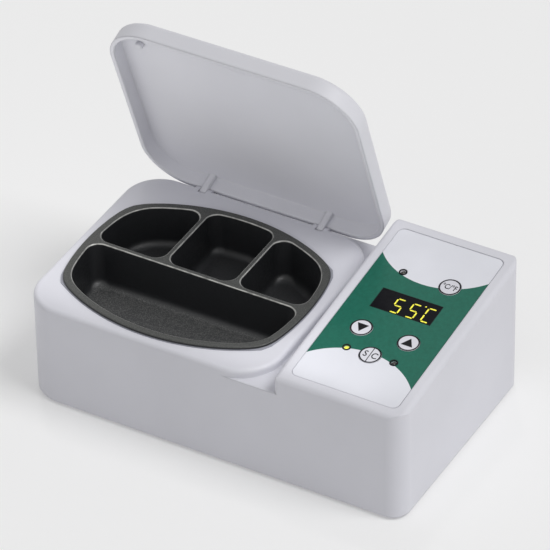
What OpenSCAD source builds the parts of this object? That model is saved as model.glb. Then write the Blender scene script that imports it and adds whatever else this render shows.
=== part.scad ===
// Bench wax heater for a dental laboratory: a rounded plastic housing with a four-well
// pot under a hinged lid on the left, and a sloping control panel on the right.
// Millimetres. +Z is up, +X is to the right and -Y is the front. The origin is on the
// surface under the feet, in the middle of the whole object with its lid open.

/* [Housing] */
// Overall width of the housing
body_w = 240; // [232:1:250]
// Overall depth of the housing
body_d = 142; // [138:1:150]
// Wall thickness of the housing
wall = 2.6; // [2:0.1:3]
// Radius of the two vertical corners on the pot side
corner_left = 22; // [18:1:24]
// Radius of the two vertical corners on the panel side
corner_right = 10; // [7:1:14]
// Height of the housing's lower edge above the surface
edge_gap = 2; // [1.5:0.1:2.6]
// Height of the low deck around the raised parts
deck_z = 61.5; // [59:0.5:63]
// Thickness of the deck
roof = 2.6; // [2.2:0.1:3]
// Height of the raised plateau that carries the pot
plateau_z = 66.6; // [66:0.1:68]
// Right edge of the plateau
plateau_right = 33.5; // [32:0.5:35]
// Strip of deck left behind the plateau
plateau_back = 4.2; // [4:0.1:6]
// Radius of the plateau's corners on the panel side
plateau_corner = 26; // [20:1:28]
// Rounding of the plateau's upper edge
plateau_edge = 2.5; // [1.5:0.1:3]

/* [Panel block] */
// Width of the block that carries the control panel
block_w = 78.6; // [76:0.2:80]
// Height of the block's upper edge at the front
block_front_z = 72.4; // [70:0.2:75]
// Slope of the control panel in degrees
panel_tilt = 6.2; // [4:0.1:8]
// Rounding of the block's upper edges
block_edge = 3; // [1.5:0.1:4]
// Radius of the block's front corner beside the pot
block_front_r = 3; // [2:0.5:5]
// Radius of the block's rear corner beside the pot
block_rear_r = 8; // [6:0.5:10]
// Thickness of the block's sloping roof
panel_roof = 3; // [2.8:0.1:3.4]

/* [Overlay, display and keys] */
// Width of the printed overlay
label_w = 65; // [62:0.5:67]
// Length of the printed overlay along the slope
label_l = 128; // [122:0.5:130]
// Thickness of the overlay
label_t = 0.6; // [0.4:0.1:0.7]
// Depth of the pocket that holds the overlay
pocket_t = 0.8; // [0.7:0.1:0.9]
// Radius of the overlay's corners
label_r = 4; // [2:0.5:6]
// Width of the display window
window_w = 37; // [34:0.5:39]
// Height of the display window along the slope
window_h = 16; // [14:0.5:17]
// Distance of the window's middle from the block's front edge
window_s = 80; // [78:0.5:82]
// Diameter of a key cap
key_d = 12.4; // [11:0.2:13]
// Travel of a key
key_travel = 0.5; // [0.3:0.1:0.5]
// Distance between the two columns of keys
key_pitch = 29; // [28:0.5:31]
// Diameter of an indicator lens
led_d = 3; // [2.6:0.1:3.2]

/* [Pot] */
// Width of the pot's rim
pot_w = 142; // [138:1:144]
// Depth of the pot's rim
pot_d = 119; // [115:1:121]
// Middle of the pot, left of the housing's middle
pot_left = 43.2; // [41:0.2:44]
// Middle of the pot, in front of the housing's middle
pot_front = 6.6; // [5:0.2:8]
// Thickness of the pot's flange
flange_t = 1.5; // [1.2:0.1:3]
// Width of the pot's flange, from its rim to the wells
flange_w = 4.6; // [4.4:0.1:6]
// Depth of the large front well
front_depth = 26; // [20:1:28]
// Depth of the three rear wells
rear_depth = 24; // [18:1:26]
// Thickness of the walls between the wells
rib_t = 3; // [2:0.5:6]
// Width of the middle rear well
mid_well_w = 42; // [34:1:46]
// Draft of the well walls, from top to bottom
well_draft = 3; // [2:0.5:4]
// Thickness of the pot's floor under the wells
pot_floor = 4; // [3:0.5:5]
// Thickness of the gasket under the flange
gasket_t = 0.5; // [0.5:0.1:1.2]

/* [Lid] */
// Right edge of the lid
lid_right = 38.5; // [36:0.5:38.5]
// Distance of the lid's left edge from the housing's left side
lid_inset = 2; // [0.6:0.1:2.2]
// Height of the lid from its rim to its top
lid_h = 11.5; // [11:0.5:13]
// Wall thickness of the lid
lid_wall = 2.6; // [2.2:0.1:3]
// Radius of the lid's corners
lid_corner = 28; // [22:1:30]
// Rounding of the lid's upper edge
lid_edge = 3; // [2:0.1:3.6]
// Angle of the lid above its closed position, as it stands open
lid_open = 70.5; // [60:0.5:80]
// Distance of the hinge pins from the middle of the hinge
hinge_half = 38; // [34:1:42]
// Middle of the hinge, left of the middle of the lid
hinge_left = 2.75; // [0:0.25:3]
// Diameter of a hinge pin
pin_d = 3; // [2.5:0.1:3]
// Width of a hinge lug of the lid
lug_w = 4; // [4:0.2:6]
// Width of one of the ears beside a lug
ear_w = 3; // [2.6:0.2:5]

/* [Base] */
// Thickness of the base plate
base_t = 2.5; // [2:0.1:3]
// Diameter of a rubber foot
foot_d = 16; // [12:1:18]
// Diameter of a housing screw
screw_d = 3; // [2.5:0.1:3]

/* [Mains inlet and switch] */
// Place of the inlet, right of the housing's middle
inlet_x = 86; // [84:1:88]
// Height of the inlet's middle
inlet_z = 30; // [28:1:34]
// Width of the inlet's socket
socket_w = 24.6; // [24:0.2:25]
// Height of the inlet's socket
socket_h = 16.6; // [16:0.2:17]
// Depth of the inlet's socket
socket_depth = 16; // [15:0.5:17]
// Thickness of a flat contact in the inlet
contact_t = 2; // [1.5:0.1:2.2]
// Width of a flat contact in the inlet
contact_w = 4; // [3:0.1:4.5]
// Place of the mains switch, right of the housing's middle
switch_x = 40; // [36:1:42]
// Height of the rocker's opening
rocker_h = 17; // [15:0.5:18]
// Width of the rocker
rocker_w = 10.5; // [9:0.5:11]
// Swing of the rocker between on and off, in degrees
rocker_swing = 20; // [14:1:22]

/* [Hidden] */
$fn = 64;
// Small overlap used where one cut runs out of another
eps = 0.5;
// Clearance between pieces that move past each other
gap = 0.3;
// Clearance around a pressed or screwed pin, on the radius
fit = 0.02;
// Clearance around a turning pin, on the radius
run = 0.05;
// Places of the inlet's contacts, seen from behind the inlet's middle
contact_places = [[-7, -2], [7, -2], [0, 2]];
x_right = body_w / 2;
x_left = -body_w / 2;
// The open lid reaches behind the housing, so the housing's middle lies a little forward
lid_step = 3;
hinge_step = 2;
hinge_drop = 2.9;
lid_reach = cos(lid_open) * (hinge_step - lid_edge) + sin(lid_open) * (hinge_drop + lid_h - lid_edge)
    + lid_edge - lid_step - hinge_step;
mid_y = -round(lid_reach * 10) / 20;
y_back = mid_y + body_d / 2;
y_front = mid_y - body_d / 2;
block_x = x_right - block_w;
plateau_y = y_back - plateau_back;
inside_z = deck_z - roof;
// Pot frame and heights
pot_x = -pot_left;
pot_y = mid_y - pot_front;
flange_z = plateau_z + gasket_t;
pot_top = flange_z + flange_t;
pot_bottom = pot_top - front_depth - pot_floor;
well_in = flange_w;
body_in = flange_w - 2;
opening_in = body_in - 0.8;
// Curvature of the pot's rim: front and back, sides, and across the corners
arc_front = 115;
arc_side = 150;
corner_reach = 4.4;
rib_y = 0.3;
// Lid, closed: rim just above the plateau
lid_x0 = x_left + lid_inset;
lid_x1 = lid_right;
lid_y0 = y_front + 0.7;
lid_y1 = y_back - lid_step;
lid_z0 = plateau_z + gap;
lid_mid = (lid_x0 + lid_x1) / 2;
lid_inner_z = lid_z0 + lid_h - lid_wall;
// Finger dish in the lid's outer face: radius, depth and distance from the front edge
scoop_r = 40;
scoop_in = 1.2;
scoop_y = 10;
// Nubs inside the lid: distance from its side and front edges, radius and height
nub_side = 16;
nub_front = 20;
nub_r = 2.4;
nub_h = 3;
hinge_y = lid_y1 - hinge_step;
hinge_z = lid_z0 - hinge_drop;
eye_r = 2.6;
// The hinge's slot: the lug and its play on each side
slot_w = lug_w + 2 * gap;
// Panel frame: x as before, then distance up the slope, then height above the panel
label_x = block_x + block_w / 2;
label_s = 7 + label_l / 2;
label_top = label_t - pocket_t;
label_gap = 0.3;
key_low_s = 38;
key_mid_s = 55;
key_high_s = 103.5;
cap_top = label_top + 0.35;
cap_t = 1.1;
key_r = key_d / 2;
cap_well = cap_top - cap_t - key_travel - gap;
stem_r = 2.4;
board_n = -12;
board_t = 1.6;
board_w = 68;
board_l = 118;
board_s = 10 + board_l / 2;
switch_t = 3.5;
plunger_t = 1.3;
post_r = 3;
post_in = 5;
// Base plate and feet
base_z = edge_gap + 1;
base_top = base_z + base_t;
foot_x = x_right - 24;
foot_y = body_d / 2 - 24;
boss_r = 4.5;
boss_x0 = x_left + wall + 14;
boss_in = round((corner_right - wall - boss_r + 0.2) * 7) / 10;
boss_x1 = x_right - corner_right + boss_in;
boss_y0 = body_d / 2 - wall - 10;
boss_y1 = body_d / 2 - corner_right + boss_in;
bosses = [[boss_x0, mid_y - boss_y0], [boss_x1, mid_y - boss_y1],
    [boss_x0, mid_y + boss_y0], [boss_x1, mid_y + boss_y1]];
feet = [[-foot_x, mid_y - foot_y], [foot_x, mid_y - foot_y],
    [-foot_x, mid_y + foot_y], [foot_x, mid_y + foot_y]];
screw_head_r = screw_d;
// Air slots in the base plate: number on each side of the middle one, pitch and size
vent_half = 5;
vent_pitch = 9;
vent_w = 3;
vent_l = 48;
// Inlet and switch
inlet_flange_w = 50;
inlet_flange_h = 24;
inlet_screw_x = 20;
switch_z = inlet_z;
rocker_pin_r = 1.2;
rocker_y = y_back - 6;
rocker_reach = 9;
rocker_tip = rocker_h / 2 - 1.6;
frame_w = rocker_w + 4.4;
frame_h = rocker_h + 5;

// Heater under the pot and the plate that presses it on
heater_t = 1.2;
heater_in = 14;
clamp_t = 1.5;
clamp_z = pot_bottom - heater_t - clamp_t;
// Power board and transformer
power_w = 62;
power_l = 96;
power_x = -8;
power_z = base_top + 4;
power_t = 1.6;
transformer_x = 74;

// Flat outline of a rounded rectangle with one radius on the left and one on the right
module outline(x0, x1, y0, y1, r0, r1) {
    translate([x0 + r0, y0]) square([x1 - r1 - x0 - r0, y1 - y0]);
    translate([x0, y0 + r0]) square([r0 + 1, y1 - y0 - 2 * r0]);
    translate([x1 - r1 - 1, y0 + r1]) square([r1 + 1, y1 - y0 - 2 * r1]);
    for (y = [y0 + r0, y1 - r0]) translate([x0 + r0, y]) circle(r0);
    for (y = [y0 + r1, y1 - r1]) translate([x1 - r1, y]) circle(r1);
}

// Half profile of a slab with its upper outer edge rounded: reach r, height h, rounding e
module edge_profile(r, h, e) {
    square([r, h - e]);
    square([r - e, h]);
    translate([r - e, h - e]) intersection() {
        circle(e);
        square(e);
    }
}

// Slab with a rounded upper edge, made of bands and quarter corners that meet face to face
module round_slab(x0, x1, y0, y1, r0, r1, h, e) {
    translate([x0 + r0, (y0 + y1) / 2, 0]) rotate([90, 0, 90])
        linear_extrude(x1 - r1 - x0 - r0) for (m = [0, 1])
            mirror([m, 0]) edge_profile((y1 - y0) / 2, h, e);
    translate([x0 + r0, y1 - r0, 0]) rotate([90, 0, 0])
        linear_extrude(y1 - y0 - 2 * r0) mirror([1, 0]) edge_profile(r0, h, e);
    translate([x1 - r1, y1 - r1, 0]) rotate([90, 0, 0])
        linear_extrude(y1 - y0 - 2 * r1) edge_profile(r1, h, e);
    translate([x0 + r0, y0 + r0, 0]) rotate(180) rotate_extrude(angle = 90) edge_profile(r0, h, e);
    translate([x0 + r0, y1 - r0, 0]) rotate(90) rotate_extrude(angle = 90) edge_profile(r0, h, e);
    translate([x1 - r1, y0 + r1, 0]) rotate(270) rotate_extrude(angle = 90) edge_profile(r1, h, e);
    translate([x1 - r1, y1 - r1, 0]) rotate_extrude(angle = 90) edge_profile(r1, h, e);
}

// Places its children on the control panel
module on_panel(x, s, n) {
    translate([0, y_front, block_front_z]) rotate([panel_tilt, 0, 0]) translate([x, s, n]) children();
}

// Side view of the block, seen along X, down to the given height; low is the offset inward
module block_side(low, bottom, e) {
    y0 = y_front + low;
    y1 = y_back - low;
    z0 = block_front_z - low + low * tan(panel_tilt);
    z1 = z0 + (y1 - y0) * tan(panel_tilt);
    difference() {
        polygon([[y0, bottom], [y1, bottom], [y1, z1], [y0, z0]]);
        if (e > 0) {
            rounding_cut(y0, z0, e, 90 + panel_tilt, 1);
            rounding_cut(y1, z1, e, 90 - panel_tilt, -1);
        }
    }
}

// Cuts the corner of a side view to a radius, for a wall and a roof that meet at an angle
module rounding_cut(y, z, e, angle, side) {
    reach = e / tan(angle / 2);
    difference() {
        translate([side > 0 ? y - 1 : y - reach, z - reach - e * 0.2])
            square([reach + 1, reach + e * 0.2 + e]);
        translate([y + side * e, z - reach]) circle(e);
        translate([side > 0 ? y : y - e, z - reach - e]) square([e, e]);
        translate([y + (side > 0 ? reach : -3 * e - reach), z - reach - e]) square([3 * e, 4 * e]);
    }
}

// Rim of the pot, grown or shrunk
module pot_outline(grow) {
    w = pot_w / 2;
    d = pot_d / 2;
    translate([pot_x, pot_y]) intersection() {
        translate([0, d - arc_front]) circle(arc_front + grow, $fn = 160);
        translate([0, arc_front - d]) circle(arc_front + grow, $fn = 160);
        translate([arc_side - w, 0]) circle(arc_side + grow, $fn = 160);
        translate([w - arc_side, 0]) circle(arc_side + grow, $fn = 160);
        circle(w + corner_reach + grow, $fn = 128);
    }
}

// Mouth of one well, drawn in by the given amount: 0 front, 1 left, 2 middle, 3 right
module well_mouth(which, shrink) {
    half = mid_well_w / 2;
    far = pot_w;
    soft = 7;
    offset(r = soft, $fn = 32) offset(delta = -soft - shrink) intersection() {
        pot_outline(-well_in);
        translate([pot_x, pot_y + rib_y]) {
            if (which == 0) translate([-far, -far - rib_t / 2]) square([2 * far, far]);
            if (which == 1) translate([-far, rib_t / 2]) square([far - half - rib_t, far]);
            if (which == 2) translate([-half, rib_t / 2]) square([2 * half, far]);
            if (which == 3) translate([half + rib_t, rib_t / 2]) square([far, far]);
        }
    }
}

// One well with leaning walls and a rounded floor
module well(which, depth) {
    fillet = 5;
    hull() {
        translate([0, 0, pot_top - 0.01]) linear_extrude(1) well_mouth(which, 0);
        translate([0, 0, pot_top - depth + fillet])
            linear_extrude(0.1) well_mouth(which, well_draft - 0.8);
        translate([0, 0, pot_top - depth + fillet * 0.35])
            linear_extrude(0.1) well_mouth(which, well_draft + 0.6);
        translate([0, 0, pot_top - depth]) linear_extrude(0.1) well_mouth(which, well_draft + 3.4);
    }
}

module housing() {
    color([0.82, 0.82, 0.85]) difference() {
        union() {
            translate([0, 0, edge_gap]) linear_extrude(deck_z - edge_gap)
                outline(x_left, x_right, y_front, y_back, corner_left, corner_right);
            translate([0, 0, deck_z])
                round_slab(x_left, plateau_right, y_front, plateau_y, corner_left, plateau_corner,
                    plateau_z - deck_z, plateau_edge);
            panel_block();
            for (side = [-1, 1]) hinge_ears(side);
        }
        housing_inside();
        translate([0, 0, inside_z - eps]) linear_extrude(plateau_z) pot_outline(-opening_in);
        for (side = [-1, 1]) hinge_cuts(side);
        panel_cuts();
        rear_cuts();
    }
    color([0.82, 0.82, 0.85]) housing_bosses();
}

// Solid form of the raised block, above the deck
module panel_block() {
    intersection() {
        translate([block_x, 0, 0]) rotate([90, 0, 90]) linear_extrude(block_w)
            block_side(0, deck_z, block_edge);
        translate([0, 0, deck_z]) linear_extrude(60) intersection() {
            outline(block_x, x_right, y_front, y_back, block_front_r, corner_right);
            outline(block_x, x_right, y_front - 20, y_back, block_rear_r, corner_right);
        }
        on_panel(block_x + block_w / 2, -20, 0) rotate([90, 0, 0]) translate([0, 0, -body_d - 40])
            linear_extrude(body_d + 60) panel_section();
    }
}

// Section across the block, square to the slope
module panel_section() {
    top = 0.02;
    half = block_w / 2;
    translate([-half, -60]) square([block_w, 60 - block_edge + top]);
    translate([block_edge - half, -60]) square([block_w - 2 * block_edge, 60 + top]);
    for (side = [-1, 1]) translate([side * (half - block_edge), top - block_edge]) circle(block_edge);
}

// Hollow of the housing and of the block
module housing_inside() {
    translate([0, 0, -eps]) linear_extrude(inside_z + eps)
        outline(x_left + wall, x_right - wall, y_front + wall, y_back - wall,
            corner_left - wall, corner_right - wall);
    intersection() {
        translate([block_x, 0, 0]) rotate([90, 0, 90]) linear_extrude(block_w)
            block_side(panel_roof, inside_z - eps, 0);
        translate([0, 0, inside_z - 2]) linear_extrude(60)
            outline(block_x + wall, x_right - wall, y_front + wall, y_back - wall,
                block_rear_r - wall, corner_right - wall);
    }
}

// Bosses for the base screws and posts for the control board
module housing_bosses() {
    difference() {
        union() {
            for (p = bosses) translate([p[0], p[1], base_top])
                cylinder(r = boss_r, h = inside_z - base_top + eps);
            for (p = board_posts()) on_panel(p[0], p[1], board_n)
                cylinder(r = post_r, h = -board_n - panel_roof + eps);
        }
        for (p = bosses) translate([p[0], p[1], base_top - eps])
            cylinder(d = screw_d + 2 * fit, h = 14 + eps);
        for (p = board_posts()) on_panel(p[0], p[1], board_n - eps) cylinder(d = 2.5 + 2 * fit, h = 7 + eps);
    }
}

function board_posts() = [for (u = [-1, 1]) for (v = [-1, 1])
    [label_x + u * (board_w / 2 - post_in), board_s + v * (board_l / 2 - post_in)]];

function hinge_at(side) = lid_mid - hinge_left + side * hinge_half;

// Two ears that hold one hinge pin
module hinge_ears(side) {
    for (u = [-1, 1]) translate([hinge_at(side) + u * (slot_w + ear_w) / 2 - ear_w / 2, 0, 0])
        rotate([90, 0, 90]) linear_extrude(ear_w) {
            translate([hinge_y, hinge_z]) circle(eye_r);
            translate([plateau_y - 4, deck_z - 1])
                square([hinge_y - plateau_y + 4, hinge_z + eye_r - deck_z + 1]);
            translate([hinge_y - 1, deck_z - 1]) square([1 + eye_r, hinge_z - deck_z + 1]);
        }
}

// Slot for the lid's lug, and the bore for the pin through both ears
module hinge_cuts(side) {
    translate([hinge_at(side) - slot_w / 2, hinge_y - eye_r - 2 * gap, hinge_z - eye_r - gap])
        cube([slot_w, plateau_back + 20, 20]);
    translate([hinge_at(side), hinge_y, hinge_z]) rotate([0, 90, 0])
        cylinder(r = pin_d / 2 + fit, h = slot_w + 2 * ear_w + 1, center = true);
}

// Pocket for the overlay, the window's hole, key wells and indicator holes
module panel_cuts() {
    on_panel(label_x, label_s, -pocket_t) linear_extrude(10)
        outline(-label_w / 2 - label_gap, label_w / 2 + label_gap, -label_l / 2 - label_gap,
            label_l / 2 + label_gap, label_r, label_r);
    on_panel(label_x, window_s, -panel_roof - eps) linear_extrude(10)
        square([window_w - 4, window_h - 3], center = true);
    for (k = keys()) {
        on_panel(k[0], k[1], cap_well) cylinder(r = key_r + gap, h = 10);
        on_panel(k[0], k[1], -panel_roof - eps) cylinder(r = stem_r + gap, h = 10);
    }
    for (l = leds()) on_panel(l[0], l[1], -panel_roof - eps) cylinder(r = led_d / 2 + 0.1, h = 10);
}

function keys() = [[label_x + key_pitch / 2, key_high_s], [label_x - key_pitch / 2, key_mid_s],
    [label_x + key_pitch / 2, key_mid_s], [label_x, key_low_s]];
function leds() = [[label_x - key_pitch / 2, key_high_s], [label_x - key_pitch / 2, key_low_s],
    [label_x + key_pitch / 2, key_low_s]];

// Openings in the rear wall for the inlet, its screws and the switch
module rear_cuts() {
    translate([inlet_x - socket_w / 2 - 1.6, y_back - wall - eps, inlet_z - socket_h / 2 - 1.6])
        cube([socket_w + 3.2, wall + 2, socket_h + 3.2]);
    for (side = [-1, 1]) translate([inlet_x + side * inlet_screw_x, y_back + 1, inlet_z]) rotate([90, 0, 0])
        cylinder(d = 3 + 2 * fit, h = wall + 2);
    translate([switch_x - frame_w / 2 + 1, y_back - wall - eps, switch_z - frame_h / 2 + 1])
        cube([frame_w - 2, wall + 2, frame_h - 2]);
}

module base_plate() {
    inset = wall + gap;
    color([0.75, 0.75, 0.78]) difference() {
        translate([0, 0, base_z]) linear_extrude(base_t)
            outline(x_left + inset, x_right - inset, y_front + inset, y_back - inset,
                corner_left - inset, corner_right - inset);
        for (p = bosses) {
            translate([p[0], p[1], base_z - eps]) cylinder(d = screw_d + 2 * fit, h = base_t + 2 * eps);
            translate([p[0], p[1], base_z - eps]) cylinder(r = screw_head_r + gap, h = eps + 1.2);
        }
        for (p = feet) translate([p[0], p[1], base_z - eps]) cylinder(d = foot_d + 2 * fit, h = eps + 1);
        for (i = [-vent_half : vent_half])
            translate([pot_x + i * vent_pitch - vent_w / 2, mid_y - vent_l / 2, base_z - eps])
                cube([vent_w, vent_l, base_t + 2 * eps]);
    }
}

module foot(i) {
    color([0.12, 0.12, 0.13]) translate([feet[i][0], feet[i][1], 0]) rotate_extrude()
        polygon([[0, 0], [foot_d / 2 - 1.2, 0], [foot_d / 2, 1.2], [foot_d / 2, base_z + 1],
            [0, base_z + 1]]);
}
module foot_front_left() { foot(0); }
module foot_front_right() { foot(1); }
module foot_rear_left() { foot(2); }
module foot_rear_right() { foot(3); }

module base_screw(i) {
    color([0.7, 0.7, 0.72]) translate([bosses[i][0], bosses[i][1], base_z - 0.6]) difference() {
        union() {
            cylinder(r = screw_head_r, h = 1.8);
            cylinder(d = screw_d, h = base_t + 12);
        }
        for (a = [0, 90]) rotate(a) translate([-1.6, -0.35, -0.1]) cube([3.2, 0.7, 1.1]);
    }
}
module base_screw_1() { base_screw(0); }
module base_screw_2() { base_screw(1); }
module base_screw_3() { base_screw(2); }
module base_screw_4() { base_screw(3); }

module pot() {
    color([0.17, 0.18, 0.18]) difference() {
        union() {
            translate([0, 0, flange_z]) linear_extrude(flange_t) pot_outline(0);
            hull() {
                translate([0, 0, flange_z - 1]) linear_extrude(1.5) pot_outline(-body_in);
                translate([0, 0, pot_bottom]) linear_extrude(0.1) pot_outline(-body_in - well_draft - 1);
            }
        }
        for (i = [0 : 3]) well(i, i == 0 ? front_depth : rear_depth);
    }
}

module pot_gasket() {
    color([0.62, 0.62, 0.64]) translate([0, 0, plateau_z]) linear_extrude(gasket_t) difference() {
        pot_outline(gap);
        pot_outline(-opening_in);
    }
}

module heater_foil() {
    color([0.75, 0.35, 0.15]) translate([0, 0, pot_bottom - heater_t]) linear_extrude(heater_t)
        difference() {
            pot_outline(-heater_in);
            translate([pot_x, pot_y]) circle(4);
        }
}

module heater_clamp() {
    color([0.78, 0.78, 0.8]) translate([0, 0, clamp_z]) linear_extrude(clamp_t) difference() {
        pot_outline(-heater_in - 4);
        translate([pot_x, pot_y]) circle(2 + fit);
    }
}

module clamp_screw() {
    color([0.7, 0.7, 0.72]) translate([pot_x, pot_y, clamp_z - 3]) {
        cylinder(r = 3.5, h = 3);
        cylinder(r = 2, h = 3 + clamp_t + heater_t);
    }
}

module probe() {
    color([0.85, 0.85, 0.87]) translate([pot_x - 30, pot_y + 10, clamp_z - 5]) {
        translate([-9, -4, 4]) cube([18, 8, 1]);
        translate([-9, 0, 2.4]) rotate([0, 90, 0]) cylinder(d = 4, h = 26);
    }
}

module cutout() {
    color([0.15, 0.15, 0.16]) translate([pot_x + 28, pot_y + 6, clamp_z - 8]) {
        cylinder(r = 8, h = 8);
        for (u = [-1, 1]) translate([u * 4 - 0.4, -3, -6]) cube([0.8, 6, 7]);
    }
}

// Turns the closed lid's pieces about the hinge to the open position
module opened() {
    translate([0, hinge_y, hinge_z]) rotate([-lid_open, 0, 0]) translate([0, -hinge_y, -hinge_z]) children();
}

module lid() {
    color([0.8, 0.8, 0.83]) opened() difference() {
        union() {
            difference() {
                translate([0, 0, lid_z0])
                    round_slab(lid_x0, lid_x1, lid_y0, lid_y1, lid_corner, lid_corner, lid_h, lid_edge);
                translate([0, 0, lid_z0 - eps]) linear_extrude(lid_h - lid_wall + eps)
                    outline(lid_x0 + lid_wall, lid_x1 - lid_wall, lid_y0 + lid_wall, lid_y1 - lid_wall,
                        lid_corner - lid_wall, lid_corner - lid_wall);
            }
            lid_scoop_boss();
            for (side = [-1, 1]) lid_lug(side);
        }
        lid_scoop(0);
        for (side = [-1, 1]) translate([hinge_at(side), hinge_y, hinge_z]) rotate([0, 90, 0])
            cylinder(r = pin_d / 2 + run, h = lug_w + 1, center = true);
    }
}

// Shallow finger dish in the lid's outer face, with the wall bulged in under it
module lid_scoop(grow) {
    translate([lid_mid, lid_y0 + scoop_y, lid_z0 + lid_h + scoop_r - scoop_in]) sphere(scoop_r + grow);
}
module lid_scoop_boss() {
    intersection() {
        lid_scoop(lid_wall);
        translate([lid_mid - 20, lid_y0 + 0.8, lid_inner_z - 3]) cube([40, 24, 3.4]);
    }
}

// One lug: an eye about the pin and an arm that runs up into the lid's rear wall
module lid_lug(side) {
    translate([hinge_at(side) - lug_w / 2, 0, 0]) rotate([90, 0, 90]) linear_extrude(lug_w) {
        translate([hinge_y, hinge_z]) circle(eye_r);
        translate([hinge_y - eye_r, hinge_z]) square([eye_r + 1.9, lid_inner_z - hinge_z + 0.5]);
    }
}

function nub_x(side) = lid_mid + side * ((lid_x1 - lid_x0) / 2 - nub_side);

// Small round nub on the lid's inner face, near a free corner
module lid_nub(side) {
    color([0.86, 0.86, 0.88]) opened()
        translate([nub_x(side), lid_y0 + nub_front, lid_inner_z - nub_h]) rotate_extrude()
            polygon([[0, 0], [nub_r - 0.6, 0], [nub_r, 0.6], [nub_r, nub_h], [0, nub_h]]);
}
module lid_nub_left() { lid_nub(-1); }
module lid_nub_right() { lid_nub(1); }

module hinge_pin(side) {
    color([0.75, 0.75, 0.77]) translate([hinge_at(side), hinge_y, hinge_z]) rotate([0, 90, 0])
        cylinder(d = pin_d, h = slot_w + 2 * ear_w, center = true);
}
module hinge_pin_left() { hinge_pin(-1); }
module hinge_pin_right() { hinge_pin(1); }

module overlay() {
    color([0.11, 0.42, 0.35]) difference() {
        on_panel(label_x, label_s, -pocket_t) linear_extrude(label_t)
            outline(-label_w / 2, label_w / 2, -label_l / 2, label_l / 2, label_r, label_r);
        on_panel(label_x, window_s, -pocket_t - eps) linear_extrude(5)
            square([window_w + 2 * fit, window_h + 2 * fit], center = true);
        for (k = keys()) on_panel(k[0], k[1], -pocket_t - eps) cylinder(r = key_r + gap, h = 5);
        for (l = leds()) on_panel(l[0], l[1], -pocket_t - eps) cylinder(r = led_d / 2 + 0.1, h = 5);
    }
}

module display_window() {
    color([0.1, 0.1, 0.12]) on_panel(label_x, window_s, -pocket_t) linear_extrude(label_t)
        square([window_w, window_h], center = true);
}

module display_module() {
    color([0.2, 0.2, 0.22]) on_panel(label_x, window_s, board_n)
        translate([0, 0, (-pocket_t - 0.3 - board_n) / 2])
            cube([window_w - 5, window_h - 4, -pocket_t - 0.3 - board_n], center = true);
}

module led(i) {
    on_panel(leds()[i][0], leds()[i][1], board_n) {
        cylinder(r = led_d / 2 + 0.45, h = 2);
        cylinder(r = led_d / 2, h = label_top + 0.1 - board_n - 1);
        translate([0, 0, label_top + 0.1 - board_n - 1]) led_dome();
    }
}
module led_dome() {
    intersection() {
        translate([0, 0, -0.9]) sphere(sqrt(pow(led_d / 2, 2) + 0.81));
        cylinder(r = led_d, h = 2);
    }
}
module led_unit() { color([0.5, 0.5, 0.4]) led(0); }
module led_heat() { color([0.95, 0.9, 0.4]) led(1); }
module led_timer() { color([0.5, 0.5, 0.4]) led(2); }

// Key cap with a stem through the roof and a collar that keeps it in
module key(i) {
    stem_end = board_n + switch_t + plunger_t + key_travel + gap;
    color([0.85, 0.85, 0.87]) on_panel(keys()[i][0], keys()[i][1], 0) {
        translate([0, 0, cap_top - cap_t]) cylinder(r = key_r, h = cap_t);
        translate([0, 0, stem_end]) cylinder(r = stem_r, h = cap_top - cap_t - stem_end + 0.2);
        translate([0, 0, -panel_roof - gap - 1]) cylinder(r = stem_r + 1, h = 1);
    }
}
module key_unit() { key(0); }
module key_down() { key(1); }
module key_up() { key(2); }
module key_set() { key(3); }

module key_switch(i) {
    color([0.2, 0.2, 0.2]) on_panel(keys()[i][0], keys()[i][1], board_n) {
        translate([-3, -3, 0]) cube([6, 6, switch_t]);
        cylinder(r = 1.75, h = switch_t + plunger_t);
    }
}
module key_switch_unit() { key_switch(0); }
module key_switch_down() { key_switch(1); }
module key_switch_up() { key_switch(2); }
module key_switch_set() { key_switch(3); }

module control_board() {
    color([0.1, 0.4, 0.2]) difference() {
        on_panel(label_x - board_w / 2, board_s - board_l / 2, board_n - board_t)
            cube([board_w, board_l, board_t]);
        for (p = board_posts()) on_panel(p[0], p[1], board_n - board_t - eps)
            cylinder(d = 2.5 + 2 * fit, h = board_t + 2 * eps);
    }
}

module board_screw(i) {
    p = board_posts()[i];
    color([0.7, 0.7, 0.72]) on_panel(p[0], p[1], board_n - board_t - 1.6) {
        cylinder(r = 2.4, h = 1.6);
        cylinder(d = 2.5, h = 1.6 + board_t + 6);
    }
}
module board_screw_1() { board_screw(0); }
module board_screw_2() { board_screw(1); }
module board_screw_3() { board_screw(2); }
module board_screw_4() { board_screw(3); }

// Power board low under the pot, with its parts
module power_board() {
    color([0.1, 0.38, 0.2]) {
        translate([power_x - power_w / 2, mid_y - power_l / 2, power_z]) cube([power_w, power_l, power_t]);
        for (u = [-1, 1]) for (v = [-1, 1])
            translate([power_x + u * (power_w / 2 - 4), mid_y + v * (power_l / 2 - 4), base_top])
                cylinder(r = 3, h = power_z - base_top);
    }
}
module relay() {
    color([0.15, 0.25, 0.5]) translate([power_x - 24, mid_y + 18, power_z + power_t]) cube([19, 15.5, 12]);
}
module capacitor() {
    color([0.2, 0.2, 0.22]) translate([power_x + 12, mid_y + 22, power_z + power_t]) cylinder(d = 13, h = 13);
}
module terminal_block() {
    color([0.2, 0.5, 0.3]) translate([power_x - 14, mid_y - power_l / 2 + 3, power_z + power_t])
        difference() {
            cube([30, 9, 11]);
            for (i = [0 : 5]) translate([2.5 + i * 5, 4.5, 4]) cylinder(r = 1.5, h = 8);
        }
}

module transformer() {
    color([0.45, 0.35, 0.25]) translate([transformer_x, mid_y, base_top]) {
        translate([-22, -18, 0]) cube([44, 36, 38]);
        translate([-28, -10, 0]) cube([56, 20, 2]);
        translate([-15, -25, 6]) cube([30, 50, 26]);
    }
}

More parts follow.
